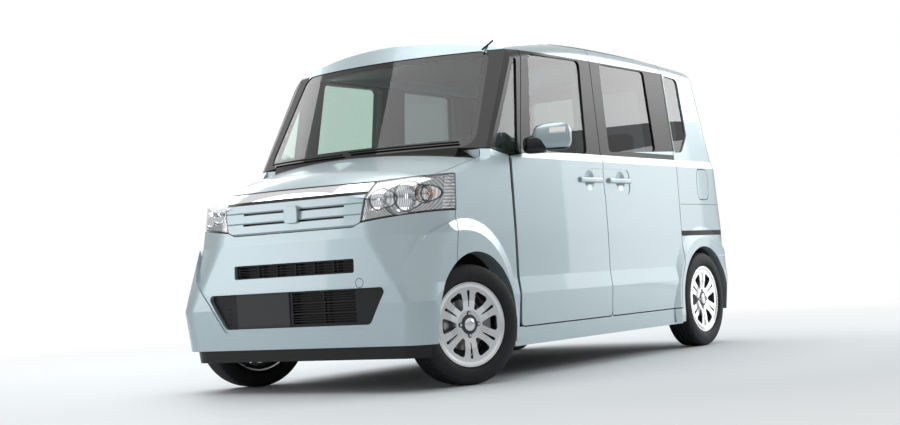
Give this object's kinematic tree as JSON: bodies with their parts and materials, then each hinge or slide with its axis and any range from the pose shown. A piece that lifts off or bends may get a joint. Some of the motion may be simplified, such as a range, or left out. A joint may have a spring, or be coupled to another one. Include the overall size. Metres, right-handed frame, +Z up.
{
  "type": "kei car",
  "caption": "Tall one-box kei car with hinged front doors, sliding rear doors, lifting bonnet and tailgate, and steered front wheels on a short body.",
  "frame": {"origin": "on the ground under the middle of the car's bounding box", "axes": "+Z up, +Y towards the car's rear so that it faces -Y, +X towards the car's left"},
  "size_m": [1.916, 3.398, 1.771],
  "materials": {
    "body_paint": "pale blue-green metallic with a clear coat",
    "glass": "tinted, polished",
    "lamp_clear": "clear polycarbonate lens over bright reflectors",
    "lamp_bowl": "vacuum-coated reflector",
    "lamp_red": "red and clear lens",
    "black_plastic": "black, fine grain",
    "floor_steel": "dark underbody coat",
    "engine_iron": "cast",
    "tank_plastic": "black polyethylene",
    "exhaust_steel": "heat stained",
    "chassis_steel": "black",
    "alloy": "silver paint, machined face",
    "tyre": "rubber",
    "disc_steel": "turned",
    "cast_iron": "cast",
    "cabin_plastic": "dark grained",
    "seat_fabric": "dark woven"
  },
  "bodies": {
    "body": {"roof_panel": "body_paint", "side_frame_left": "body_paint", "side_frame_right": "body_paint", "sliding_doors": "body_paint", "front_bumper": "body_paint", "front_wings": "body_paint", "rear_bumper": "body_paint", "side_glass": "glass", "windscreen": "glass", "headlamps": "lamp_bowl", "headlamp_lenses": "lamp_clear", "slide_rails": "black_plastic", "tail_lamps": "lamp_red", "upper_grille": "black_plastic", "lower_grille": "black_plastic", "cowl_panel": "black_plastic", "wipers": "black_plastic", "aerial": "black_plastic", "wheel_arch_liners": "black_plastic", "floor_pan": "floor_steel", "engine": "engine_iron", "fuel_tank": "tank_plastic", "exhaust": "exhaust_steel", "front_suspension": "chassis_steel", "rear_axle": "chassis_steel", "dashboard": "cabin_plastic", "front_seats": "seat_fabric", "rear_seat": "seat_fabric"},
    "knuckle_left": {"knuckle_left": "cast_iron"},
    "knuckle_right": {"knuckle_right": "cast_iron"},
    "wheel_front_left": {"rim_front_left": "alloy", "tyre_front_left": "tyre", "brake_disc_front_left": "disc_steel"},
    "wheel_front_right": {"rim_front_right": "alloy", "tyre_front_right": "tyre", "brake_disc_front_right": "disc_steel"},
    "wheel_rear_left": {"rim_rear_left": "alloy", "tyre_rear_left": "tyre", "brake_drum_rear_left": "cast_iron"},
    "wheel_rear_right": {"rim_rear_right": "alloy", "tyre_rear_right": "tyre", "brake_drum_rear_right": "cast_iron"},
    "door_left": {"front_door_left": "body_paint", "front_door_glass_left": "glass", "mirror_left": "body_paint"},
    "door_right": {"front_door_right": "body_paint", "front_door_glass_right": "glass", "mirror_right": "body_paint"},
    "bonnet": {"bonnet": "body_paint"},
    "tailgate": {"tailgate": "body_paint", "tailgate_glass": "glass", "rear_wiper": "black_plastic"},
    "fuel_lid": {"fuel_lid": "body_paint"},
    "steering_wheel": {"steering_wheel": "cabin_plastic"}
  },
  "joints": [
    {"name": "steer_left", "type": "hinge", "parent": "body", "child": "knuckle_left", "pos_m": [0.6, -1.26, 0.277], "axis": [0, 0, 1], "range_deg": [-14, 56]},
    {"name": "steer_right", "type": "hinge", "parent": "body", "child": "knuckle_right", "pos_m": [-0.6, -1.26, 0.277], "axis": [0, 0, 1], "range_deg": [-14, 56]},
    {"name": "roll_front_left", "type": "hinge", "parent": "knuckle_left", "child": "wheel_front_left", "pos_m": [0.64901, -1.27881, 0.277], "axis": [0.9336, -0.3584, 0], "continuous": true},
    {"name": "roll_front_right", "type": "hinge", "parent": "knuckle_right", "child": "wheel_front_right", "pos_m": [-0.64901, -1.24119, 0.277], "axis": [0.9336, -0.3584, 0], "continuous": true},
    {"name": "roll_rear_left", "type": "hinge", "parent": "body", "child": "wheel_rear_left", "pos_m": [0.6525, 1.26, 0.277], "axis": [1, 0, 0], "continuous": true},
    {"name": "roll_rear_right", "type": "hinge", "parent": "body", "child": "wheel_rear_right", "pos_m": [-0.6525, 1.26, 0.277], "axis": [1, 0, 0], "continuous": true},
    {"name": "door_left", "type": "hinge", "parent": "body", "child": "door_left", "pos_m": [0.7, -0.838, 0.9], "axis": [0, 0, -1], "range_deg": [0, 65]},
    {"name": "door_right", "type": "hinge", "parent": "body", "child": "door_right", "pos_m": [-0.7, -0.838, 0.9], "axis": [0, 0, 1], "range_deg": [0, 65]},
    {"name": "bonnet_lift", "type": "hinge", "parent": "body", "child": "bonnet", "pos_m": [0, -1.06, 1.112], "axis": [-1, 0, 0], "range_deg": [0, 50]},
    {"name": "tailgate_lift", "type": "hinge", "parent": "body", "child": "tailgate", "pos_m": [0, 1.417, 1.745], "axis": [1, 0, 0], "range_deg": [0, 85]},
    {"name": "fuel_lid_turn", "type": "hinge", "parent": "body", "child": "fuel_lid", "pos_m": [0.722, 1.262, 0.96], "axis": [0, 0, -1], "range_deg": [0, 95]},
    {"name": "steering_wheel_turn", "type": "hinge", "parent": "body", "child": "steering_wheel", "pos_m": [-0.33, -0.56, 0.985], "axis": [0, 0.8829, 0.4695], "range_deg": [-224, 896]}
  ],
  "couplings": [
    {"joint": "steer_right", "follows": "steer_left", "ratio": 1},
    {"joint": "steering_wheel_turn", "follows": "steer_left", "ratio": 16}
  ]
}
